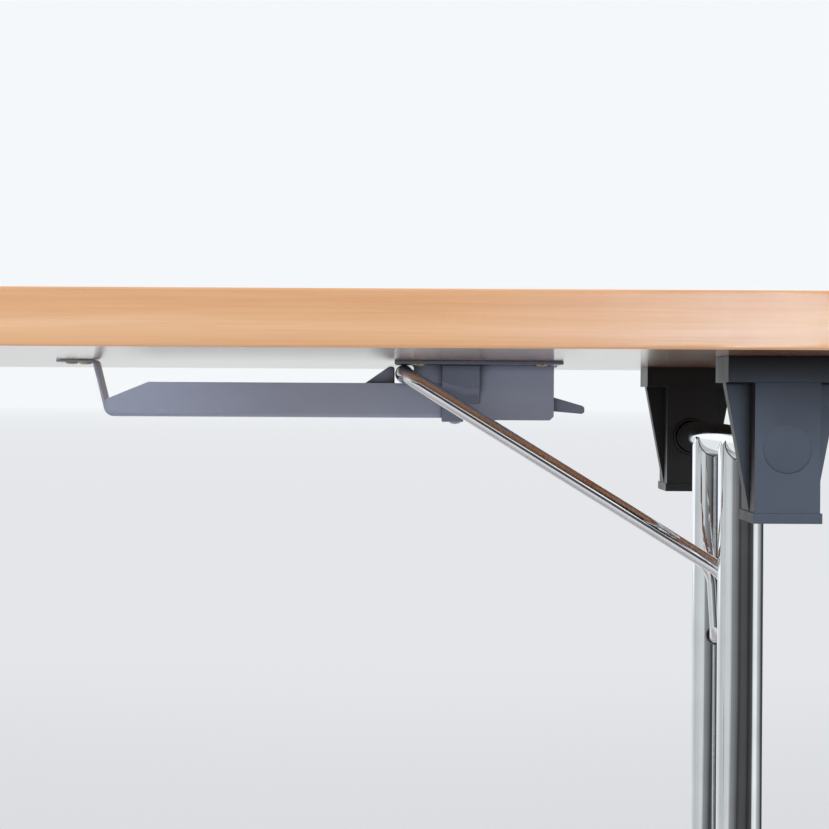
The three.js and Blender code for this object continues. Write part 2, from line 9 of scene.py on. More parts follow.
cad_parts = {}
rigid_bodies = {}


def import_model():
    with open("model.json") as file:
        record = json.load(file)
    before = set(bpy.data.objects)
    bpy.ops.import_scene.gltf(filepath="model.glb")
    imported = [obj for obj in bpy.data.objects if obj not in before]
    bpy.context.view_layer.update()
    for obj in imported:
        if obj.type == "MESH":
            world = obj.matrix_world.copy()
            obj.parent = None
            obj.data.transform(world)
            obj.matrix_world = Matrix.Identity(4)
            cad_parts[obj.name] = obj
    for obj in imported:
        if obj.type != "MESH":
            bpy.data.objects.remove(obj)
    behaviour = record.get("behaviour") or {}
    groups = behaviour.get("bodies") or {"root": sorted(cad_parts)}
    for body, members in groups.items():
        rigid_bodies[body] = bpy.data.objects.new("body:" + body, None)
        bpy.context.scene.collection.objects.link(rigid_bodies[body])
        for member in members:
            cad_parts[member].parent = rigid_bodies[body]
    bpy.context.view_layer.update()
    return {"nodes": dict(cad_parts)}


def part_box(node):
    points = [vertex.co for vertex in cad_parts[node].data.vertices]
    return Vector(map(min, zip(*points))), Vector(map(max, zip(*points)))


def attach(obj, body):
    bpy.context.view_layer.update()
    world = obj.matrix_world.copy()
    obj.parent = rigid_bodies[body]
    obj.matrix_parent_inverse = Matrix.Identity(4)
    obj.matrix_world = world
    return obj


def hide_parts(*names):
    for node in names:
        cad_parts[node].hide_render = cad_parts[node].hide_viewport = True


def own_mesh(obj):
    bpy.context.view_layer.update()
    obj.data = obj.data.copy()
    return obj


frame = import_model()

MM = 0.001
ACROSS = (0, 1, 0)
UP = (0, 0, 1)
SIDES = (("front", -1), ("rear", 1))

# Places taken from the frame. Pieces are made for the right end, and the left end is the same turned
# half round
TOP_LOW, TOP_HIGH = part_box("tabletop_edge_band")
BOARD_LOW, BOARD_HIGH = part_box("tabletop_board")
CROSS_LOW, CROSS_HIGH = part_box("right_cross_tube")
CROSS_RADIUS = (CROSS_HIGH.x - CROSS_LOW.x) / 2
UNDERSIDE = TOP_LOW.z
PIVOT = Vector(((CROSS_LOW.x + CROSS_HIGH.x) / 2, 0, (CROSS_LOW.z + CROSS_HIGH.z) / 2))
HALF_TURN = Matrix.Rotation(math.pi, 4, "Z")

# Camera, fitted to the photograph: place from the leg's pivot line at the underside, then its turn and lens
CAMERA_FROM_LEG = Vector((-196.9, -1431.3, -24.1)) * MM
CAMERA_YAW = 0.001715
CAMERA_PITCH = -0.006891
CAMERA_ROLL = 0.005461
CAMERA_LENS = 97.46
CAMERA_SIGHT = 500
SENSOR_WIDTH = 36

# Round forms: sides of a full circle, and steps of a quarter turn or a bend
ROUND_SIDES = 72
SMALL_SIDES = 40
PIN_SIDES = 32
BEAD_SIDES = 16
WIRE_SIDES = 10
EDGE_STEPS = 6
CORNER_STEPS = 8
BEND_STEPS = 18
STADIUM_STEPS = 20

# Softened edges
SMOOTH_ANGLE = math.radians(32)
BEVEL_ANGLE = math.radians(40)
BEVEL_SEGMENTS = 3
BRACKET_EDGE = 0.8 * MM
COLUMN_EDGE = 0.5 * MM
RAIL_EDGE = 0.35 * MM
PLATE_EDGE = 0.4 * MM
HOUSING_EDGE = 0.35 * MM
STIRRUP_EDGE = 0.45 * MM
LATCH_EDGE = 0.6 * MM

# Top
BAND_ROUND = 1.5 * MM
CORNER_RADIUS = 6 * MM
LEAST_CORNER = 0.1 * MM

# Legs
SADDLE_GAP = 0.3 * MM
COLUMN_SHOULDER = -56 * MM
COLUMN_TOP_HALF = 10.6 * MM
COLUMN_SPARE = 3 * MM
COLUMN_MARGIN = 1 * MM
DRESSING_SPARE = 5 * MM
BEAD_RADIUS = 1.6 * MM
BEAD_LIFT = 0.3 * BEAD_RADIUS
CAP_GAP = 0.1 * MM
CAP_CHAMFER = 0.4 * MM
CAP_CHAMFER_END = 0.7 * MM
CAP_CROWN = 6 * MM
PAD_FLAT_SHARE = 0.8
PAD_ROUND = 1.5 * MM
PAD_EDGE = 0.5 * MM

# Brackets
BRACKET_LIP = 1.2 * MM
BRACKET_SCREW_X = 25 * MM
BRACKET_SCREW_Y = 16 * MM
FLANGE_FACE = UNDERSIDE - 14.2 * MM
SINK_RADIUS = 4.8 * MM
SINK_DEPTH = 3 * MM
SINK_SPARE = 9 * MM
SCREW_FACE = FLANGE_FACE + SINK_DEPTH
BOSS_RADIUS = 13 * MM
BOSS_PROUD = 0.06 * MM
BOSS_FOOT = -0.02 * MM
BOSS_ROOT = -1 * MM
BOSS_POLE = 0.1 * MM
# The shares of the boss's radius and height where its edge rounds over
BOSS_ROUND = ((0.95, 1), (0.98, 0.7))
BUSH_LEAD = 0.5 * MM
BUSH_ROUND = 0.6 * MM
# A point on the bush's rounded edge, in from its radius and back from its mouth
BUSH_SHOULDER = Vector((0.15, 0.2)) * MM

# Brace
ARM_Y = 38 * MM
ROD_FILLETS = {"foot": 8 * MM, "arm": 22 * MM, "crossbar": 12 * MM}
ROD_BEND = Vector((-3, 0, -132.9)) * MM
ROD_END_GAP = 0.6 * MM
BRACE_PIVOT_DROP = -178.7 * MM
SLEEVE_GAP = 0.2 * MM
SLEEVE_CHAMFER = Vector((0.2, 0.3)) * MM
BRACE_BUSH_GAP = 0.4 * MM
BRACE_BUSH_MOUTH = 0.8 * MM
BRACE_BUSH_CHAMFER = 0.5 * MM

# Rail and latch. The housing's shelf is let down almost to the rail
RAIL_FOLD = 3 * MM
SHELF_Z = UNDERSIDE - 13.5 * MM
SHELF_DROP = 0.5 * MM
RIVET_SEAT = 0.2 * MM
RIVET_POLE = 0.15 * MM
RIVET_SHANK_SHARE = 0.5
PIN_CHAMFER = 0.4 * MM
SPRING_TURNS = 6
SPRING_TURN_STEPS = 24
SPRING_WIRE = 0.5 * MM
# The shares of the spring's run where it starts to climb, and over which it climbs
SPRING_CLIMB = (0.08, 0.84)

# Screws: pan heads with a cross recess. The plain numbers are shares of the radius, height or depth
SCREW_RADIUS = 4.2 * MM
SCREW_HEIGHT = 1.5 * MM
SCREW_SHANK = 1.6 * MM
SCREW_DEPTH = 12 * MM
SCREW_POLE = 0.2 * MM
SCREW_TIP = 0.3 * MM
SCREW_TAPER = 0.8
HEAD_FLAT = 0.35
HEAD_RIM = 0.25
SLOT_LENGTH = 0.55
SLOT_WIDTH = 0.13
SLOT_SINK = 0.55
TAB_SHEET = 1.7 * MM
PLATE_SHEET = 2.2 * MM
# Screws in sheet metal: kind, number and turn in degrees
SHEET_SCREWS = (("hanger", 1, 12), ("hanger", 2, 50), ("plate", 1, 33), ("plate", 2, 71))
FAR_SCREW_TURN = 20
END_SCREW = Vector((-111.5, 20, -2.2)) * MM
END_SCREW_TURN = 15
# Turns of a bracket's screws in degrees: the first, and what each next one adds
BRACKET_SCREW_TURNS = (8, 25)

# Painted shade: grey paint darkens in nooks and where parts meet
NOOK_REACH = 8 * MM
NOOK_SAMPLES = 8

# Stage. A ring of flags and softboxes stands round the table for the metal to mirror, and its stripes run
# inward over the floor. The levels are brightness by degrees round from the front, towards the right end
EVEN_LIGHT = 0.66
RING_SIDES = 96
RING_RADIUS = 4
RING_HEIGHT = 2.6
RING_SKIRT = 1.2
RING_LIFT = 2 * MM
RING_LEVELS = [
    (-180, 0.88), (-120, 0.58), (-80, 0.71), (-54, 0.74), (-44, 0.3), (-20, 0.2), (-4, 0.05), (12, 0.09),
    (30, 0.08), (42, 0.03), (60, 0.09), (66, 0.9), (80, 1.0), (90, 0.5), (104, 0.3), (112, 0.04),
    (132, 0.06), (140, 0.8), (180, 0.88),
]
RING_TINT = (0.95, 1, 1.01)
# Over this step in height the stripes give way to one bright tone
RING_STEP = (0.64, 0.76)
RING_UPPER = (1.08, 1.12, 1.18, 1)
LAMPS = [
    # name, place, aim, size, power and tint
    ("overhead", (-0.3, -0.4, 3.3), (0, 0, 0.7), 3.0, 42, (1, 1, 1)),
    ("front", (-0.6, -4.5, 1.2), (0.2, 0, 0.6), 3.0, 63, (0.95, 0.98, 1)),
    ("back", (0.4, 4.5, 2.0), (0, 0, 0.6), 3.0, 20, (1, 1, 1)),
]
# Three lamps are linked each to its own pieces: the window to the front brackets, its glare to the edge
# band, and a daylight beam to the rails, where it falls on the inner end of the one in view
WINDOW = ("window", (1.4, -3.6, 1.55), (0.75, -0.35, 0.66), 1.7, 150, (0.56, 0.71, 1))
GLARE = ("glare", (1.6, -3.6, 0.84), (0.78, -0.375, 0.726), 0.3, 0.345, (0.45, 0.8, 1))
GLARE_SPREAD = math.radians(7)
BEAM = ("beam", (-0.35, -3.2, 0.7), (0.2, 0, 0.69), 0.3, 0.055, (0.66, 0.8, 1))
BEAM_SPREAD = math.radians(5)
# The floor is lit near the table, shines by itself from the blend on, and fades into the wall far off
FLOOR_SIZE = 400
FLOOR_BLEND = (2.2, 4.5)
FLOOR_FAR = (12, 160)


def srgb(red, green, blue):
    """A colour written in 0 to 255 display values, as a linear colour."""
    def line(v):
        v /= 255
        return v / 12.92 if v <= 0.04045 else ((v + 0.055) / 1.055) ** 2.4
    return (line(red), line(green), line(blue), 1)


WHITE = (1, 1, 1, 1)
PALE_WALL = srgb(245, 248, 251)
PALE_FLOOR = srgb(228, 230, 234)


class Nodes:
    """Short helpers for a tree of shader nodes."""

    def __init__(self, tree):
        self.tree = tree

    def node(self, kind, values=None, **settings):
        """A new node, with its settings and then the values of its inputs."""
        made = self.tree.nodes.new(kind)
        for key, value in settings.items():
            setattr(made, key, value)
        for socket, value in (values or {}).items():
            made.inputs[socket].default_value = value
        return made

    def link(self, source, target):
        self.tree.links.new(source, target)

    def place(self):
        return self.node("ShaderNodeTexCoord").outputs["Object"]

    def parts(self, vector):
        """The X, Y and Z of a vector, by name."""
        made = self.node("ShaderNodeSeparateXYZ")
        self.link(vector, made.inputs["Vector"])
        return made.outputs

    def combine(self, operation, first, second):
        made = self.node("ShaderNodeMath", operation=operation)
        self.link(first, made.inputs[0])
        self.link(second, made.inputs[1])
        return made.outputs["Value"]

    def ramp(self, value, stops):
        made = self.node("ShaderNodeValToRGB")
        elements = made.color_ramp.elements
        while len(elements) < len(stops):
            elements.new(1.0)
        for element, (at, colour) in zip(elements, stops):
            element.position = at
            element.color = colour
        self.link(value, made.inputs["Fac"])
        return made.outputs["Color"]

    def between(self, value, low, high, start=0.3, end=0.7):
        """The value moved from the range start to end into the range low to high."""
        ranges = {"From Min": start, "From Max": end, "To Min": low, "To Max": high}
        made = self.node("ShaderNodeMapRange", ranges)
        self.link(value, made.inputs["Value"])
        return made.outputs["Result"]

    def either(self, share, first, second):
        """The first shader where the share is 0, and the second where it is 1."""
        made = self.node("ShaderNodeMixShader")
        for socket, source in (("Fac", share), (1, first), (2, second)):
            self.link(source, made.inputs[socket])
        return made.outputs["Shader"]


class Finish(Nodes):
    """A procedural material of the object."""

    def __init__(self, name, colour, roughness, metallic=0.0, specular=0.5):
        self.material = bpy.data.materials.new(name)
        self.material.use_nodes = True
        super().__init__(self.material.node_tree)
        self.shader = self.tree.nodes["Principled BSDF"]
        self.set("Base Color", colour)
        self.set("Roughness", roughness)
        self.set("Metallic", metallic)
        self.set("Specular IOR Level", specular)
        self.spot = self.place()

    def set(self, socket, value):
        self.shader.inputs[socket].default_value = value

    def noise(self, scale, detail, distortion=0.0, spot=None):
        """Noise with its own scale along X, Y and Z."""
        mapping = self.node("ShaderNodeMapping", {"Scale": scale})
        self.link(spot or self.spot, mapping.inputs["Vector"])
        made = self.node("ShaderNodeTexNoise", {"Scale": 1.0, "Detail": detail, "Distortion": distortion})
        self.link(mapping.outputs["Vector"], made.inputs["Vector"])
        return made.outputs["Fac"]

    def multiply(self, factor, colour, by):
        made = self.node("ShaderNodeMix", {"Factor": factor}, data_type="RGBA", blend_type="MULTIPLY")
        self.link(colour, made.inputs["A"])
        self.link(by, made.inputs["B"])
        return made.outputs["Result"]

    def colour(self, source):
        self.link(source, self.shader.inputs["Base Color"])

    def roughness(self, source):
        self.link(source, self.shader.inputs["Roughness"])

    def bump(self, height, distance, strength, socket="Normal"):
        """Fine relief, on top of any that the socket has already."""
        made = self.node("ShaderNodeBump", {"Strength": strength, "Distance": distance})
        self.link(height, made.inputs["Height"])
        previous = self.shader.inputs[socket].links
        if previous:
            self.link(previous[0].from_socket, made.inputs["Normal"])
        self.link(made.outputs["Normal"], self.shader.inputs[socket])


def beech_laminate(name, coat, shade, grain):
    """Beech-figured laminate: the worktop is satin, and the underside is under a clear coat and darkened by
    painted shade.
    """
    def shaded(*tone):
        return srgb(*(value * part for value, part in zip(tone, shade)))
    made = Finish(name, srgb(226, 178, 132), 0.32)
    made.set("Coat Weight", coat)
    made.set("Coat Roughness", 0.13)
    made.set("Coat IOR", 1.6)
    broad = made.noise((1.1, 16, 16), detail=4, distortion=0.6)
    fine = made.noise((9, 420, 420), detail=2)
    pores = made.noise((40, 900, 900), detail=1)
    figure = made.ramp(broad, [
        (0.30, shaded(216, 164, 116)),
        (0.52, shaded(228, 181, 135)),
        (0.72, shaded(236, 194, 150)),
    ])
    streak = made.ramp(fine, [(0.35, (0.86, 0.84, 0.82, 1)), (0.6, WHITE)])
    fleck = made.ramp(pores, [(0.28, (0.72, 0.66, 0.60, 1)), (0.36, WHITE)])
    streaked = made.multiply(0.7 * grain, figure, streak)
    made.colour(made.multiply(0.55 * grain, streaked, fleck))
    made.roughness(made.between(fine, 0.36, 0.46))
    made.bump(made.noise((190, 190, 190), detail=2), 0.02 * MM, 0.35)
    made.bump(made.noise((160, 420, 420), detail=2), 0.02 * MM, 0.3, "Coat Normal")
    made.bump(fine, 0.02 * MM, 0.4)
    return made.material


def beech_edge():
    """Edge band whose grain runs round the top."""
    made = Finish("beech_edge", srgb(230, 183, 139), 0.42)
    split = made.parts(made.spot)
    run = made.node("ShaderNodeCombineXYZ")
    made.link(made.combine("ADD", split["X"], split["Y"]), run.inputs["X"])
    made.link(split["Z"], run.inputs["Z"])
    spot = run.outputs["Vector"]
    broad = made.noise((2.2, 1, 70), detail=4, distortion=0.4, spot=spot)
    fine = made.noise((14, 1, 900), detail=2, spot=spot)
    figure = made.ramp(broad, [
        (0.3, srgb(213, 158, 111)),
        (0.5, srgb(222, 170, 124)),
        (0.72, srgb(230, 185, 143)),
    ])
    streak = made.ramp(fine, [(0.32, (0.88, 0.86, 0.83, 1)), (0.6, WHITE)])
    made.colour(made.multiply(0.6, figure, streak))
    made.roughness(made.between(fine, 0.36, 0.46))
    made.bump(fine, 0.03 * MM, 0.4)
    return made.material


def chrome():
    made = Finish("chrome", srgb(232, 233, 236), 0.05, metallic=1.0)
    smudge = made.noise((38, 38, 38), detail=4)
    made.roughness(made.between(smudge, 0.03, 0.085))
    made.colour(made.ramp(smudge, [(0.25, srgb(226, 227, 230)), (0.7, srgb(238, 239, 241))]))
    return made.material


def black_plastic():
    made = Finish("black_plastic", srgb(10, 10, 11), 0.40, specular=0.55)
    grain = made.noise((1500, 1500, 1500), detail=2)
    cloud = made.noise((30, 30, 30), detail=3)
    made.colour(made.ramp(cloud, [(0.3, srgb(8, 8, 9)), (0.7, srgb(12, 12, 13))]))
    made.roughness(made.between(cloud, 0.38, 0.46))
    made.bump(grain, 0.05 * MM, 0.5)
    return made.material


def grey_paint(name, tone):
    """Bluish grey paint with a fine orange peel, and painted shade in its nooks."""
    made = Finish(name, srgb(tone, tone + 6, tone + 24), 0.36)
    peel = made.noise((620, 620, 620), detail=2)
    cloud = made.noise((14, 40, 40), detail=4)
    coat = made.ramp(cloud, [
        (0.28, srgb(tone - 5, tone + 1, tone + 19)),
        (0.72, srgb(tone + 5, tone + 11, tone + 30)),
    ])
    # Painted shade: ambient occlusion darkens the paint in nooks and where parts meet
    nook = made.node("ShaderNodeAmbientOcclusion", {"Distance": NOOK_REACH}, samples=NOOK_SAMPLES)
    nook_shade = made.ramp(nook.outputs["AO"], [(0.35, (0.25, 0.25, 0.26, 1)), (0.85, WHITE)])
    made.colour(made.multiply(1.0, coat, nook_shade))
    made.roughness(made.between(cloud, 0.30, 0.44))
    made.bump(peel, 0.06 * MM, 0.55)
    return made.material


def plated(name, low, high, roughness):
    """Plated steel whose tint varies between two colours."""
    made = Finish(name, high, roughness, metallic=1.0)
    tint = made.noise((180, 180, 180), detail=3)
    made.colour(made.ramp(tint, [(0.3, low), (0.7, high)]))
    made.roughness(made.between(tint, roughness - 0.08, roughness + 0.1))
    made.bump(made.noise((900, 900, 900), detail=2), 0.03 * MM, 0.4)
    return made.material


BEECH_TOP = beech_laminate("beech_top", coat=0.0, shade=(1, 1, 1), grain=1.0)
# The underside's darker, browner tone is painted shade
BEECH_UNDER = beech_laminate("beech_underside", coat=1.0, shade=(0.70, 0.58, 0.47), grain=0.3)
BEECH_EDGE = beech_edge()
CHROME = chrome()
BLACK = black_plastic()
GREY = grey_paint("grey_paint", 150)
DARK_GREY = grey_paint("dark_grey_paint", 122)
YELLOW_ZINC = plated("yellow_zinc", srgb(158, 142, 106), srgb(208, 194, 152), 0.28)
STEEL = plated("dull_steel", srgb(96, 94, 92), srgb(142, 140, 138), 0.34)
BRIGHT_ZINC = plated("bright_zinc", srgb(150, 152, 156), srgb(206, 208, 212), 0.26)


def placed(name, data):
    """A new object in the scene."""
    made = bpy.data.objects.new(name, data)
    bpy.context.collection.objects.link(made)
    return made


def quarter(steps, first=0):
    """The sine and cosine at even steps of a quarter turn."""
    angles = [math.radians(90 * s / steps) for s in range(first, steps + 1)]
    return [(math.sin(angle), math.cos(angle)) for angle in angles]


def circle(centre, across, other, radius, sides):
    """Points round a circle, from one direction towards another."""
    points = []
    for s in range(sides):
        angle = 2 * math.pi * s / sides
        points.append(centre + (across * math.cos(angle) + other * math.sin(angle)) * radius)
    return points


def mesh_of(name, points, faces):
    """A mesh whose faces all look outward."""
    made = bpy.data.meshes.new(name)
    made.from_pydata([tuple(p) for p in points], [], faces)
    form = bmesh.new()
    form.from_mesh(made)
    bmesh.ops.recalc_face_normals(form, faces=form.faces)
    form.to_mesh(made)
    form.free()
    return made


def lofted(name, rings, closed=False, capped=True):
    """Rings joined in order. Closed ones run back to the first ring, and open ones can be capped."""
    count = len(rings[0])
    points = [p for ring in rings for p in ring]
    faces = []
    for i in range(len(rings) if closed else len(rings) - 1):
        a = i * count
        b = ((i + 1) % len(rings)) * count
        for s in range(count):
            t = (s + 1) % count
            faces.append((a + s, a + t, b + t, b + s))
    if capped and not closed:
        faces.append(tuple(range(count)))
        faces.append(tuple(range(len(points) - count, len(points))))
    return mesh_of(name, points, faces)


def turned(name, profile, centre, axis, sides=ROUND_SIDES, closed=False):
    """A lathe form: profile points are (radius, distance along axis), about a line through centre."""
    axis = Vector(axis)
    across = axis.orthogonal().normalized()
    other = axis.cross(across)
    rings = []
    for radius, along in profile:
        rings.append(circle(Vector(centre) + axis * along, across, other, radius, sides))
    return lofted(name, rings, closed)


def bar(name, radius, start, end, centre, axis):
    """A round bar between two distances along an axis through centre."""
    return turned(name, [(radius, start), (radius, end)], centre, axis)


def rounded_path(corners):
    """Points along a path whose corners, given as (point, radius), are rounded."""
    path = [corners[0][0]]
    for (before, _), (point, radius), (after, _) in zip(corners, corners[1:], corners[2:]):
        back = (before - point).normalized()
        ahead = (after - point).normalized()
        half = back.angle(ahead) / 2
        centre = point + (back + ahead).normalized() * (radius / math.sin(half))
        start = point + back * (radius / math.tan(half)) - centre
        axis = back.cross(ahead).normalized()
        for s in range(BEND_STEPS + 1):
            turn = Matrix.Rotation(-(math.pi - 2 * half) * s / BEND_STEPS, 3, axis)
            path.append(centre + turn @ start)
    path.append(corners[-1][0])
    return path


def swept(name, path, radius, sides):
    """A round bar along a path, capped at both ends."""
    last = len(path) - 1
    tangents = [(path[min(i + 1, last)] - path[max(i - 1, 0)]).normalized() for i in range(last + 1)]
    normal = tangents[0].orthogonal().normalized()
    rings = []
    for i, point in enumerate(path):
        if i:
            normal = tangents[i - 1].rotation_difference(tangents[i]) @ normal
        rings.append(circle(point, normal, tangents[i].cross(normal), radius, sides))
    return lofted(name, rings)


def block(name, low, high):
    """A box between two corners."""
    (x0, y0, z0), (x1, y1, z1) = low, high
    rings = [[(x0, y0, z), (x1, y0, z), (x1, y1, z), (x0, y1, z)] for z in (z0, z1)]
    return lofted(name, rings)


def baked(piece, name):
    """The object's mesh with its modifiers applied."""
    graph = bpy.context.evaluated_depsgraph_get()
    made = bpy.data.meshes.new_from_object(piece.evaluated_get(graph))
    made.name = name
    return made


def carved(name, base, cutters):
    """The base mesh with the cutter meshes taken out of it."""
    body = placed(name, base)
    tools = [placed("cutter", cutter) for cutter in cutters]
    for tool in tools:
        step = body.modifiers.new("cut", "BOOLEAN")
        step.object = tool
        step.operation = "DIFFERENCE"
        step.solver = "EXACT"
    made = baked(body, name)
    for used in (body, *tools):
        bpy.data.objects.remove(used)
    return made


def cad_copy(node):
    """A clean copy of a CAD node's mesh, with its flat faces merged."""
    form = bmesh.new()
    form.from_mesh(frame["nodes"][node].data)
    bmesh.ops.remove_doubles(form, verts=form.verts, dist=1e-6)
    bmesh.ops.dissolve_limit(form, angle_limit=math.radians(1), verts=form.verts, edges=form.edges)
    made = bpy.data.meshes.new(node)
    form.to_mesh(made)
    form.free()
    return made


def soft_edges(piece, width):
    """A modifier that rounds the sharp edges over."""
    soft = piece.modifiers.new("soft_edges", "BEVEL")
    soft.width = width
    soft.segments = BEVEL_SEGMENTS
    soft.limit_method = "ANGLE"
    soft.angle_limit = BEVEL_ANGLE
    return soft


def softened(mesh, width):
    """The mesh with its sharp edges rounded over."""
    body = placed("soft", mesh)
    soft_edges(body, width)
    made = baked(body, mesh.name)
    bpy.data.objects.remove(body)
    return made


def show(name, mesh, body, finish, slot, bevel=0.0, flat=False):
    """One piece of the object, riding on a body, with soft edges and flat faces where asked."""
    mesh.materials.clear()
    mesh.materials.append(finish)
    mesh.shade_smooth()
    mesh.set_sharp_from_angle(angle=SMOOTH_ANGLE)
    piece = placed(name, mesh)
    if bevel:
        soft_edges(piece, bevel).harden_normals = True
    if flat:
        piece.modifiers.new("flat_faces", "WEIGHTED_NORMAL").keep_sharp = True
    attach(piece, body)
    return piece


def swapped(name):
    """A name with front and rear changed over, for the end that is turned half round."""
    if "front" in name:
        return name.replace("front", "rear")
    return name.replace("rear", "front")


def both_ends(name, mesh, body, finish, slot, replaces=True, **edges):
    """The piece at the right end, and its turned copy at the left end."""
    twin = mesh.copy()
    twin.transform(HALF_TURN)
    made = []
    for end, form, own in (("right", mesh, name), ("left", twin, swapped(name))):
        rides = body if body == "top" else f"{end}_{body}"
        piece = show(f"{end}_{own}_look", form, rides, finish, slot, **edges)
        if replaces:
            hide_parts(f"{end}_{own}")
        made.append(piece)
    return made


def rounded_rectangle(low, high, inset, radius, z):
    """Points round a rectangle with rounded corners, drawn in from the given box."""
    points = []
    radius = max(radius - inset, LEAST_CORNER)
    corners = ((high.x, high.y, 0), (low.x, high.y, 90), (low.x, low.y, 180), (high.x, low.y, 270))
    middle = (low + high) / 2
    for x, y, start in corners:
        cx = x + math.copysign(inset + radius, middle.x - x)
        cy = y + math.copysign(inset + radius, middle.y - y)
        for s in range(CORNER_STEPS + 1):
            angle = math.radians(start + 90 * s / CORNER_STEPS)
            points.append(Vector((cx + radius * math.cos(angle), cy + radius * math.sin(angle), z)))
    return points


def table_top():
    """The board, with its own finish below, and the edge band round it."""
    thickness = BOARD_LOW.x - TOP_LOW.x
    inner_radius = CORNER_RADIUS - thickness
    slab = lofted("board", [
        rounded_rectangle(BOARD_LOW, BOARD_HIGH, 0, inner_radius, z) for z in (BOARD_LOW.z, BOARD_HIGH.z)
    ])
    board = show("board_look", slab, "top", BEECH_TOP, "tabletop")
    slab.materials.append(BEECH_UNDER)
    for face in slab.polygons:
        face.material_index = int(face.normal.z < -0.5)
    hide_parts("tabletop_board")
    profile = [(thickness, TOP_LOW.z)]
    for sine, cosine in quarter(EDGE_STEPS):
        profile.append((BAND_ROUND * (1 - sine), TOP_LOW.z + BAND_ROUND * (1 - cosine)))
    for sine, cosine in quarter(EDGE_STEPS):
        profile.append((BAND_ROUND * (1 - cosine), TOP_HIGH.z - BAND_ROUND * (1 - sine)))
    profile.append((thickness, TOP_HIGH.z))
    rings = [rounded_rectangle(TOP_LOW, TOP_HIGH, inset, CORNER_RADIUS, z) for inset, z in profile]
    band = show("edge_band_look", lofted("edge_band", rings, closed=True), "top", BEECH_EDGE, "edge_band")
    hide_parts("tabletop_edge_band")


def dressings(centre, radius, reach, top):
    """Wedges that slope a column's two sides in towards its top."""
    shoulder = UNDERSIDE + COLUMN_SHOULDER
    wide = radius + COLUMN_MARGIN
    rise = DRESSING_SPARE * (top - shoulder) / (wide - COLUMN_TOP_HALF)
    outline = [
        (wide + DRESSING_SPARE, shoulder - rise),
        (COLUMN_TOP_HALF - DRESSING_SPARE, top + rise),
        (wide + DRESSING_SPARE, top + rise),
    ]
    made = []
    for side in (-1, 1):
        rings = []
        for y in (centre.y - reach, centre.y + reach):
            rings.append([Vector((centre.x + side * x, y, z)) for x, z in outline])
        made.append(lofted("dressing", rings))
    return made


def columns():
    """Column tubes, saddled to the cross tube, each with a weld bead at its foot."""
    for place in ("front", "rear"):
        low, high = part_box(f"right_column_{place}")
        radius = (high.y - low.y) / 2
        reach = 2 * radius
        centre = (low + high) / 2
        line = (centre.x, centre.y, 0)
        joint = (centre.x, centre.y, PIVOT.z)
        tube = bar("column", radius, low.z, high.z + COLUMN_SPARE, line, UP)
        saddle = bar("saddle", CROSS_RADIUS + SADDLE_GAP, -reach, reach, joint, ACROSS)
        level = block("level", (centre.x - reach, centre.y - reach, high.z),
                      (centre.x + reach, centre.y + reach, high.z + reach))
        mesh = carved("column", tube, [saddle, level, *dressings(centre, radius, reach, high.z)])
        both_ends(f"column_{place}", mesh, "leg", CHROME, "chrome", bevel=COLUMN_EDGE)
        round_bead = circle(Vector((radius, low.z + BEAD_LIFT)), Vector((1, 0)), Vector((0, 1)),
                            BEAD_RADIUS, BEAD_SIDES)
        bead = turned("foot_bead", round_bead, line, UP, closed=True)
        both_ends(f"column_bead_{place}", bead, "leg", CHROME, "chrome", replaces=False)


def cross_tube():
    mesh = bar("cross_tube", CROSS_RADIUS, CROSS_LOW.y, CROSS_HIGH.y, (PIVOT.x, 0, PIVOT.z), ACROSS)
    both_ends("cross_tube", mesh, "leg", CHROME, "chrome")


def stadium(low, high, inset, y):
    """A flat-oval outline across X and Z at a depth y."""
    radius = (high.z - low.z) / 2 - inset
    middle = (low.z + high.z) / 2
    points = []
    for x, start in ((high.x - inset - radius, -90), (low.x + inset + radius, 90)):
        for s in range(STADIUM_STEPS + 1):
            angle = math.radians(start + 180 * s / STADIUM_STEPS)
            points.append(Vector((x + radius * math.cos(angle), y, middle + radius * math.sin(angle))))
    return points


def foot_cap(low, high, side, start, end):
    """A domed plug on the foot tube, from the tube's end to the plug's."""
    rings = [
        stadium(low, high, CAP_CHAMFER, start + side * CAP_GAP),
        stadium(low, high, 0, start + side * CAP_CHAMFER_END),
    ]
    for sine, cosine in quarter(CORNER_STEPS):
        rings.append(stadium(low, high, CAP_CROWN * (1 - cosine), end - side * CAP_CROWN * (1 - sine)))
    return lofted("foot_cap", rings)


def foot_pad(low, high):
    radius = (high.x - low.x) / 2
    centre = (low + high) / 2
    profile = [(PAD_FLAT_SHARE * radius, low.z), (radius - PAD_ROUND, low.z)]
    for sine, cosine in quarter(EDGE_STEPS, first=1):
        profile.append((radius - PAD_ROUND * (1 - sine), low.z + PAD_ROUND * (1 - cosine)))
    profile += [(radius, high.z - PAD_EDGE), (radius - PAD_EDGE, high.z)]
    return turned("foot_pad", profile, (centre.x, centre.y, 0), UP)


def feet():
    """The foot tube with its caps and pads."""
    low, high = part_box("right_foot_tube")
    mesh = lofted("foot_tube", [stadium(low, high, 0, y) for y in (low.y, high.y)])
    both_ends("foot_tube", mesh, "leg", CHROME, "chrome")
    for place, side in SIDES:
        cap_low, cap_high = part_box(f"right_foot_cap_{place}")
        tube_end = low.y if side < 0 else high.y
        cap_end = cap_low.y if side < 0 else cap_high.y
        cap = foot_cap(low, high, side, tube_end, cap_end)
        both_ends(f"foot_cap_{place}", cap, "leg", BLACK, "black_plastic")
        pad = foot_pad(*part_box(f"right_foot_pad_{place}"))
        both_ends(f"foot_pad_{place}", pad, "leg", BLACK, "black_plastic")


def bracket_screw_places(low, high):
    """The X and Y of a bracket's four screws."""
    middle = (low + high) / 2
    places = []
    for x in (middle.x - BRACKET_SCREW_X, middle.x + BRACKET_SCREW_X):
        for y in (middle.y - BRACKET_SCREW_Y, middle.y + BRACKET_SCREW_Y):
            places.append((x, y))
    return places


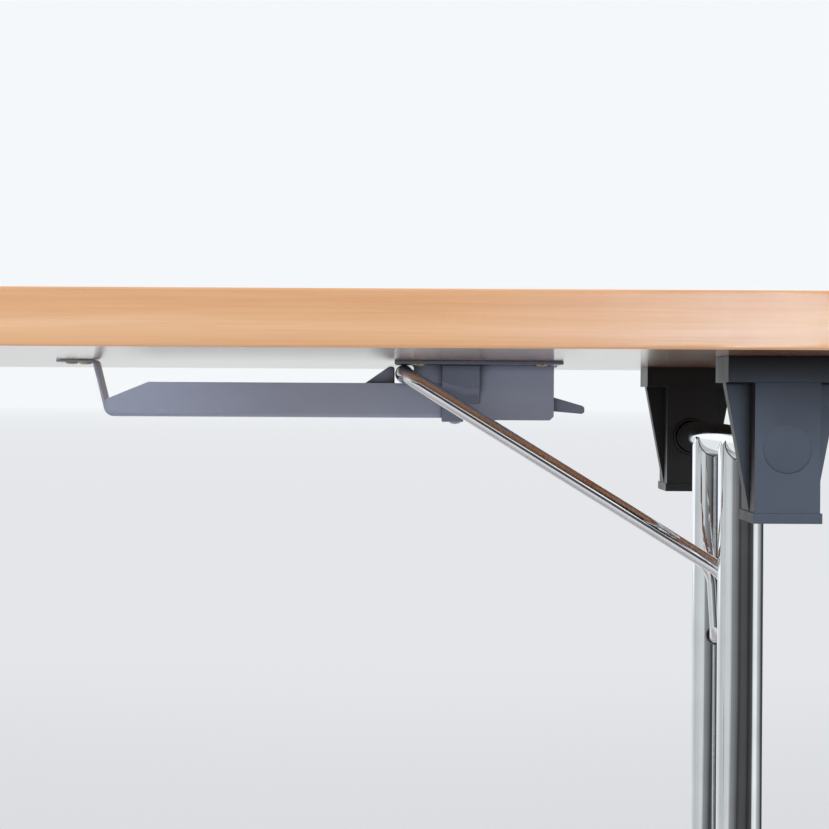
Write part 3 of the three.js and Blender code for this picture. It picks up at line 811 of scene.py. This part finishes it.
def bracket_boss(outer, side):
    """A faint disc on the bracket's outer face."""
    profile = [(BOSS_POLE, BOSS_PROUD)]
    profile += [(wide * BOSS_RADIUS, tall * BOSS_PROUD) for wide, tall in BOSS_ROUND]
    profile += [(BOSS_RADIUS, BOSS_FOOT), (BOSS_RADIUS, BOSS_ROOT), (BOSS_POLE, BOSS_ROOT)]
    return turned("boss", profile, (PIVOT.x, outer, PIVOT.z), (0, side, 0))


def bearing_bush(low, high, side):
    """A flanged bush for the cross tube, with its mouth towards the middle of the table."""
    mouth = high.y if side < 0 else low.y
    length = high.y - low.y
    radius = (high.x - low.x) / 2
    bore = CROSS_RADIUS + SADDLE_GAP
    profile = [
        (bore + BUSH_LEAD, 0), (radius - BUSH_ROUND, 0), (radius - BUSH_SHOULDER.x, -BUSH_SHOULDER.y),
        (radius, -BUSH_ROUND), (radius, -length), (bore, -length), (bore, -BUSH_LEAD),
    ]
    return turned("bush", profile, (PIVOT.x, mouth, PIVOT.z), (0, -side, 0), closed=True)


def brackets():
    """Bearing brackets with their screw sinks, discs and bushes."""
    for place, side in SIDES:
        node = f"right_bracket_{place}"
        low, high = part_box(node)
        sinks = []
        for x, y in bracket_screw_places(low, high):
            sinks.append(bar("sink", SINK_RADIUS, FLANGE_FACE - SINK_SPARE, SCREW_FACE, (x, y, 0), UP))
        form = carved("bracket", softened(cad_copy(node), BRACKET_EDGE), sinks)
        both_ends(f"bracket_{place}", form, "top", BLACK, "black_plastic", flat=True)
        outer = (low.y if side < 0 else high.y) - side * BRACKET_LIP
        boss = bracket_boss(outer, side)
        both_ends(f"bracket_boss_{place}", boss, "top", BLACK, "black_plastic", replaces=False)
        bush = bearing_bush(*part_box(f"right_bearing_bush_{place}"), side)
        both_ends(f"bearing_bush_{place}", bush, "top", BLACK, "black_plastic")


def brace():
    """The U-shaped rod, its sleeve on the rail and the bushes where its lower ends turn."""
    low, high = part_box("right_slide_sleeve")
    crossbar = (low + high) / 2
    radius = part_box("right_brace_rod")[1].z - crossbar.z
    foot_z = UNDERSIDE + BRACE_PIVOT_DROP
    end_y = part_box("right_brace_bush_rear")[0].y - ROD_END_GAP
    corners = []
    for side in (-1, 1):
        run = [
            (Vector((PIVOT.x, side * end_y, foot_z)), 0),
            (Vector((PIVOT.x, side * ARM_Y, foot_z)), ROD_FILLETS["foot"]),
            (Vector((PIVOT.x + ROD_BEND.x, side * ARM_Y, UNDERSIDE + ROD_BEND.z)), ROD_FILLETS["arm"]),
            (Vector((crossbar.x, side * ARM_Y, crossbar.z)), ROD_FILLETS["crossbar"]),
        ]
        corners += run if side < 0 else run[::-1]
    rod = swept("brace_rod", rounded_path(corners), radius, SMALL_SIDES)
    both_ends("brace_rod", rod, "brace", CHROME, "chrome")
    bore = radius + SLEEVE_GAP
    outer = (high.z - low.z) / 2
    half = high.y
    sleeve = turned("sleeve", [
        (bore, -half), (outer - SLEEVE_CHAMFER.x, -half), (outer, -half + SLEEVE_CHAMFER.y),
        (outer, half - SLEEVE_CHAMFER.y), (outer - SLEEVE_CHAMFER.x, half), (bore, half),
    ], crossbar, ACROSS, closed=True)
    both_ends("slide_sleeve", sleeve, "slider", BLACK, "black_plastic")
    for place, side in SIDES:
        low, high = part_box(f"right_brace_bush_{place}")
        face = high.y if side < 0 else low.y
        length = high.y - low.y
        bore = radius + BRACE_BUSH_GAP
        outer = (high.x - low.x) / 2
        bush = turned("brace_bush", [
            (bore, BRACE_BUSH_GAP), (radius + BRACE_BUSH_MOUTH, 0), (outer - BRACE_BUSH_CHAMFER, 0),
            (outer, BRACE_BUSH_CHAMFER), (outer, length), (bore, length),
        ], (PIVOT.x, face, foot_z), (0, side, 0), closed=True)
        both_ends(f"brace_bush_{place}", bush, "leg", STEEL, "bright_steel")


def fold_cutter(low, high, side):
    """What lies outside the rounded fold along a rail's lower edge."""
    outer = low.y if side < 0 else high.y
    reach = RAIL_FOLD
    outline = [(-reach, -reach), (reach, -reach)]
    outline += [(reach * (1 - sine), reach * (1 - cosine)) for sine, cosine in quarter(CORNER_STEPS)]
    outline.append((-reach, reach))
    rings = []
    for x in (low.x - reach, high.x + reach):
        rings.append([Vector((x, outer - side * inward, low.z + up)) for inward, up in outline])
    return lofted("fold", rings)


def sheet_parts():
    """Rail, plate, housing, stirrup, lever and hook, from their CAD forms."""
    low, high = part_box("right_slide_rail")
    folds = [fold_cutter(low, high, side) for side in (-1, 1)]
    rail = carved("slide_rail", cad_copy("right_slide_rail"), folds)
    housing = cad_copy("right_latch_housing")
    for corner in housing.vertices:
        if abs(corner.co.z - SHELF_Z) < SHELF_DROP:
            corner.co.z -= SHELF_DROP
    for name, mesh, body, finish, edge in (
        ("slide_rail", rail, "top", GREY, RAIL_EDGE),
        ("mount_plate", cad_copy("right_mount_plate"), "top", DARK_GREY, PLATE_EDGE),
        ("latch_housing", housing, "top", GREY, HOUSING_EDGE),
        ("stirrup", cad_copy("right_stirrup"), "top", DARK_GREY, STIRRUP_EDGE),
        ("latch_lever", cad_copy("right_latch_lever"), "latch", DARK_GREY, LATCH_EDGE),
        ("latch_hook", cad_copy("right_latch_hook"), "latch", DARK_GREY, LATCH_EDGE),
    ):
        both_ends(name, mesh, body, finish, "grey_paint", bevel=edge)


def stirrup_rivet():
    low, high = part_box("right_stirrup_rivet")
    radius = (high.x - low.x) / 2
    centre = (low + high) / 2
    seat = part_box("right_stirrup")[0].z - RIVET_SEAT
    dome = [(RIVET_POLE, low.z)]
    for sine, cosine in quarter(CORNER_STEPS, first=1):
        dome.append((radius * sine, seat - (seat - low.z) * cosine))
    shank = RIVET_SHANK_SHARE * radius
    dome += [(shank, seat), (shank, high.z), (RIVET_POLE, high.z)]
    mesh = turned("rivet", dome, (centre.x, centre.y, 0), UP, sides=SMALL_SIDES)
    both_ends("stirrup_rivet", mesh, "top", BRIGHT_ZINC, "bright_steel")


def latch_pin():
    low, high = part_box("right_latch_pin")
    radius = (high.x - low.x) / 2
    centre = (low + high) / 2
    half = high.y
    mesh = turned("pin", [
        (radius - PIN_CHAMFER, -half), (radius, -half + PIN_CHAMFER),
        (radius, half - PIN_CHAMFER), (radius - PIN_CHAMFER, half),
    ], (centre.x, 0, centre.z), ACROSS, sides=PIN_SIDES)
    both_ends("latch_pin", mesh, "top", BRIGHT_ZINC, "bright_steel")


def latch_spring():
    """A coil for the latch, each copy with a mesh of its own."""
    low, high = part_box("right_latch_spring")
    coil = (high.x - low.x) / 2 - SPRING_WIRE
    centre = (low + high) / 2
    steps = SPRING_TURNS * SPRING_TURN_STEPS
    start, climb = SPRING_CLIMB
    path = []
    for s in range(steps + 1):
        angle = 2 * math.pi * SPRING_TURNS * s / steps
        share = min(max((s / steps - start) / climb, 0), 1)
        z = low.z + SPRING_WIRE + (high.z - low.z - 2 * SPRING_WIRE) * share
        path.append(Vector((centre.x + coil * math.cos(angle), centre.y + coil * math.sin(angle), z)))
    mesh = swept("spring", path, SPRING_WIRE, WIRE_SIDES)
    springs = both_ends("latch_spring", mesh, "top", BRIGHT_ZINC, "bright_steel")
    for end, sign, spring in zip(("right", "left"), (1, -1), springs):
        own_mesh(spring)


def screw_form():
    """A pan-head wood screw, head down, with its seat at zero and a cross recess."""
    radius = SCREW_RADIUS
    height = SCREW_HEIGHT
    profile = [(SCREW_POLE, -height)]
    for sine, cosine in quarter(CORNER_STEPS, first=1)[:-1]:
        around = radius * (HEAD_FLAT + (1 - HEAD_FLAT) * sine)
        profile.append((around, -height * (HEAD_RIM + (1 - HEAD_RIM) * cosine)))
    profile += [
        (radius, -HEAD_RIM * height), (radius, 0), (SCREW_SHANK, 0),
        (SCREW_SHANK, SCREW_TAPER * SCREW_DEPTH), (SCREW_TIP, SCREW_DEPTH),
    ]
    head = turned("screw", profile, (0, 0, 0), UP, sides=SMALL_SIDES)
    wide = SLOT_LENGTH * radius
    narrow = SLOT_WIDTH * radius
    floor = SLOT_SINK * height - height
    slots = []
    for x, y in ((wide, narrow), (narrow, wide)):
        slots.append(block("slot", (-x, -y, -2 * height), (x, y, floor)))
    return carved("screw", head, slots)


def screws():
    """Screws in the hanger tab, the mount plate and the brackets."""
    form = screw_form()

    def drive(name, x, y, seat, turn, finish, slot, replaces):
        mesh = form.copy()
        mesh.transform(Matrix.Translation((x, y, seat)) @ Matrix.Rotation(math.radians(turn), 4, "Z"))
        both_ends(name, mesh, "top", finish, slot, replaces=replaces)

    for kind, number, turn in SHEET_SCREWS:
        low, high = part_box(f"right_{kind}_screw_{number}")
        middle = (low + high) / 2
        seat = UNDERSIDE - (TAB_SHEET if kind == "hanger" else PLATE_SHEET)
        drive(f"{kind}_screw_{number}", middle.x, middle.y, seat, turn, YELLOW_ZINC, "yellow_zinc", True)
        if kind == "plate":
            drive(f"{kind}_far_screw_{number}", middle.x, -middle.y, seat, turn + FAR_SCREW_TURN,
                  YELLOW_ZINC, "yellow_zinc", False)
    spot = Vector((PIVOT.x, 0, UNDERSIDE)) + END_SCREW
    drive("plate_end_screw", *spot, END_SCREW_TURN, BRIGHT_ZINC, "bright_steel", False)
    first_turn, next_turn = BRACKET_SCREW_TURNS
    for place in ("front", "rear"):
        low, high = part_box(f"right_bracket_{place}")
        for i, (x, y) in enumerate(bracket_screw_places(low, high)):
            drive(f"bracket_screw_{place}_{i + 1}", x, y, SCREW_FACE, next_turn * i + first_turn,
                  BRIGHT_ZINC, "bright_steel", False)


def emptied(holder):
    """The nodes of a world or a material, with none in place yet."""
    holder.use_nodes = True
    holder.node_tree.nodes.clear()
    return Nodes(holder.node_tree)


def backdrop():
    """A pale wall for camera and mirror rays, and an even light for the rest."""
    world = bpy.data.worlds.new("studio")
    bpy.context.scene.world = world
    sky = emptied(world)
    rays = sky.node("ShaderNodeLightPath").outputs
    share = rays["Is Camera Ray"]
    for kind in ("Is Glossy Ray", "Is Transmission Ray"):
        share = sky.combine("MAXIMUM", share, rays[kind])
    even = sky.node("ShaderNodeBackground", {"Color": (EVEN_LIGHT, EVEN_LIGHT, EVEN_LIGHT, 1)})
    seen = sky.node("ShaderNodeBackground", {"Color": PALE_WALL})
    mixed = sky.either(share, even.outputs["Background"], seen.outputs["Background"])
    sky.link(mixed, sky.node("ShaderNodeOutputWorld").inputs["Surface"])


def mirror_ring():
    """The ring that only mirror-like surfaces see."""
    rings = []
    for radius, z in ((RING_SKIRT, RING_LIFT), (RING_RADIUS, RING_LIFT), (RING_RADIUS, RING_HEIGHT)):
        rings.append(circle(Vector((0, 0, z)), Vector((0, -1, 0)), Vector((1, 0, 0)), radius, RING_SIDES))
    ring = placed("mirror_ring", lofted("mirror_ring", rings, capped=False))
    for kind in ("camera", "diffuse", "transmission", "volume_scatter", "shadow"):
        setattr(ring, f"visible_{kind}", False)
    material = bpy.data.materials.new("mirror_ring")
    paint = emptied(material)
    split = paint.parts(paint.place())
    toward = paint.node("ShaderNodeMath", {1: -1}, operation="MULTIPLY")
    paint.link(split["Y"], toward.inputs[0])
    angle = paint.combine("ARCTAN2", split["X"], toward.outputs["Value"])
    turn = paint.between(angle, 0, 1, -math.pi, math.pi)
    stops = []
    for degrees, level in RING_LEVELS:
        stops.append((0.5 + degrees / 360, (*(level * part for part in RING_TINT), 1)))
    stripes = paint.ramp(turn, stops)
    upper = paint.node("ShaderNodeMix", {"B": RING_UPPER}, data_type="RGBA")
    paint.link(paint.between(split["Z"], 0, 1, *RING_STEP), upper.inputs["Factor"])
    paint.link(stripes, upper.inputs["A"])
    glow = paint.node("ShaderNodeEmission")
    paint.link(upper.outputs["Result"], glow.inputs["Color"])
    paint.link(glow.outputs["Emission"], paint.node("ShaderNodeOutputMaterial").inputs["Surface"])
    ring.data.materials.append(material)


def floor_plane():
    """A floor that runs off into the wall, and that can be seen through from below."""
    half = FLOOR_SIZE / 2
    corners = [(-half, -half, 0), (half, -half, 0), (half, half, 0), (-half, half, 0)]
    floor = placed("floor", mesh_of("floor", corners, [(0, 1, 2, 3)]))
    material = bpy.data.materials.new("floor")
    paint = emptied(material)
    length = paint.node("ShaderNodeVectorMath", operation="LENGTH")
    paint.link(paint.place(), length.inputs[0])
    distance = length.outputs["Value"]
    near = paint.node("ShaderNodeBsdfDiffuse", {"Color": PALE_FLOOR})
    horizon = paint.node("ShaderNodeMix", {"A": PALE_FLOOR, "B": PALE_WALL}, data_type="RGBA")
    paint.link(paint.between(distance, 0, 1, *FLOOR_FAR), horizon.inputs["Factor"])
    far = paint.node("ShaderNodeEmission")
    paint.link(horizon.outputs["Result"], far.inputs["Color"])
    share = paint.between(distance, 0, 1, *FLOOR_BLEND)
    above = paint.either(share, near.outputs["BSDF"], far.outputs["Emission"])
    below = paint.node("ShaderNodeBsdfTransparent").outputs["BSDF"]
    side = paint.node("ShaderNodeNewGeometry").outputs["Backfacing"]
    output = paint.node("ShaderNodeOutputMaterial")
    paint.link(paint.either(side, above, below), output.inputs["Surface"])
    floor.data.materials.append(material)


def lamp(name, spot, aim, size, power, tint):
    """A square lamp that neither the camera nor a mirror sees."""
    light = bpy.data.lights.new(name, "AREA")
    light.size = size
    light.energy = power
    light.color = tint
    made = placed(name, light)
    made.visible_camera = False
    made.visible_glossy = False
    made.location = spot
    made.rotation_euler = (Vector(aim) - Vector(spot)).to_track_quat("-Z", "Y").to_euler()
    return made


def sheen(settings, *words):
    """A lamp that lights only the pieces with all of the given words in their names."""
    made = lamp(*settings)
    made.visible_glossy = True
    lit = bpy.data.collections.new(f"lit_by_{made.name}")
    for piece in bpy.data.objects:
        if all(word in piece.name for word in words):
            lit.objects.link(piece)
    made.light_linking.receiver_collection = lit
    return made


def lamps():
    for settings in LAMPS:
        lamp(*settings)
    sheen(WINDOW, "_bracket_", "_front")
    glare = sheen(GLARE, "edge_band")
    glare.visible_diffuse = False
    glare.data.spread = GLARE_SPREAD
    sheen(BEAM, "slide_rail").data.spread = BEAM_SPREAD


def camera():
    data = bpy.data.cameras.new("camera")
    data.lens = CAMERA_LENS
    data.sensor_width = SENSOR_WIDTH
    data.clip_end = CAMERA_SIGHT
    made = placed("camera", data)
    level = Matrix.Rotation(CAMERA_YAW, 3, "Z") @ Matrix.Rotation(math.pi / 2 + CAMERA_PITCH, 3, "X")
    turn = level @ Matrix.Rotation(CAMERA_ROLL, 3, "Z")
    spot = Vector((PIVOT.x, 0, UNDERSIDE)) + CAMERA_FROM_LEG
    made.matrix_world = Matrix.Translation(spot) @ turn.to_4x4()
    bpy.context.scene.camera = made


camera()
table_top()
columns()
cross_tube()
feet()
brackets()
brace()
sheet_parts()
stirrup_rivet()
latch_pin()
latch_spring()
screws()
backdrop()
mirror_ring()
floor_plane()
lamps()

bpy.context.scene.view_settings.view_transform = "Standard"
